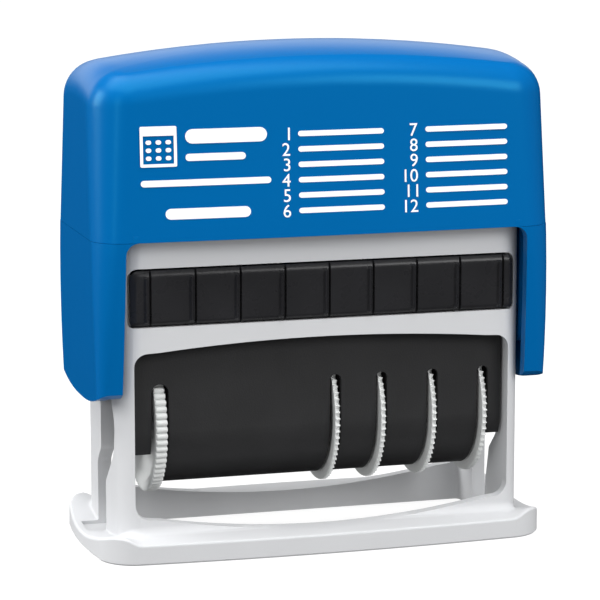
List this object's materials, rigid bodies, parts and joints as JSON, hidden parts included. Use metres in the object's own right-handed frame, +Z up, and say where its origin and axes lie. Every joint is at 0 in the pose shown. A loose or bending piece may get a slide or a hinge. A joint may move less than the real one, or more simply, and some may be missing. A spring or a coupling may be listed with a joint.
{
  "type": "self inking dater stamp",
  "caption": "Free-standing self-inking dater: a sprung hood slides down an open frame and flips a carriage of word and date bands from the ink pad to the paper.",
  "frame": {"origin": "middle of the footprint, on the plane of the paper", "axes": "+Z up, +X along the stamp to the user's right, -Y towards the user (the ribbed pad front and the wheel window)"},
  "size_m": [0.0676, 0.0322, 0.0723],
  "materials": {
    "blue_plastic": "moulded, satin gloss",
    "grey_plastic": "moulded, satin",
    "black_plastic": "moulded, satin gloss",
    "matte_black_plastic": "moulded, fine matte",
    "white_plastic": "moulded, satin",
    "band_rubber": "matte, ink stained",
    "ink_felt": "ink-soaked foam pad",
    "spring_steel": "drawn wire",
    "axle_steel": "ground pin"
  },
  "bodies": {
    "frame": {"frame": "grey_plastic", "pad_cassette": "black_plastic", "ink_pad": "ink_felt", "return_spring": "spring_steel"},
    "cap": {"hood": "blue_plastic", "stirrup": "blue_plastic"},
    "carriage": {"left_end_plate": "matte_black_plastic", "right_end_plate": "matte_black_plastic", "band_bridge": "matte_black_plastic", "wheel_cover": "matte_black_plastic", "wheel_axle": "axle_steel", "word_band": "band_rubber", "day_tens_band": "band_rubber", "day_units_band": "band_rubber", "month_band": "band_rubber", "year_band": "band_rubber"},
    "word_wheel": {"word_wheel": "white_plastic"},
    "day_tens_wheel": {"day_tens_wheel": "white_plastic"},
    "day_units_wheel": {"day_units_wheel": "white_plastic"},
    "month_wheel": {"month_wheel": "white_plastic"},
    "year_wheel": {"year_wheel": "white_plastic"}
  },
  "joints": [
    {"name": "cap_press", "type": "slide", "parent": "frame", "child": "cap", "axis": [0, 0, -1], "range_m": [0, 0.0184], "stiffness_N_per_m": 450, "springref_m": -0.012, "deforming": ["return_spring"]},
    {"name": "carriage_flip", "type": "hinge", "parent": "cap", "child": "carriage", "pos_m": [0, 0, 0.02565], "axis": [1, 0, 0], "range_deg": [0, 180]},
    {"name": "word_wheel_turn", "type": "hinge", "parent": "carriage", "child": "word_wheel", "pos_m": [0, 0, 0.01785], "axis": [1, 0, 0], "continuous": true},
    {"name": "day_tens_wheel_turn", "type": "hinge", "parent": "carriage", "child": "day_tens_wheel", "pos_m": [0, 0, 0.01785], "axis": [1, 0, 0], "continuous": true},
    {"name": "day_units_wheel_turn", "type": "hinge", "parent": "carriage", "child": "day_units_wheel", "pos_m": [0, 0, 0.01785], "axis": [1, 0, 0], "continuous": true},
    {"name": "month_wheel_turn", "type": "hinge", "parent": "carriage", "child": "month_wheel", "pos_m": [0, 0, 0.01785], "axis": [1, 0, 0], "continuous": true},
    {"name": "year_wheel_turn", "type": "hinge", "parent": "carriage", "child": "year_wheel", "pos_m": [0, 0, 0.01785], "axis": [1, 0, 0], "continuous": true}
  ],
  "couplings": [
    {"joint": "carriage_flip", "follows": "cap_press", "rad_per_m": 170.74}
  ]
}
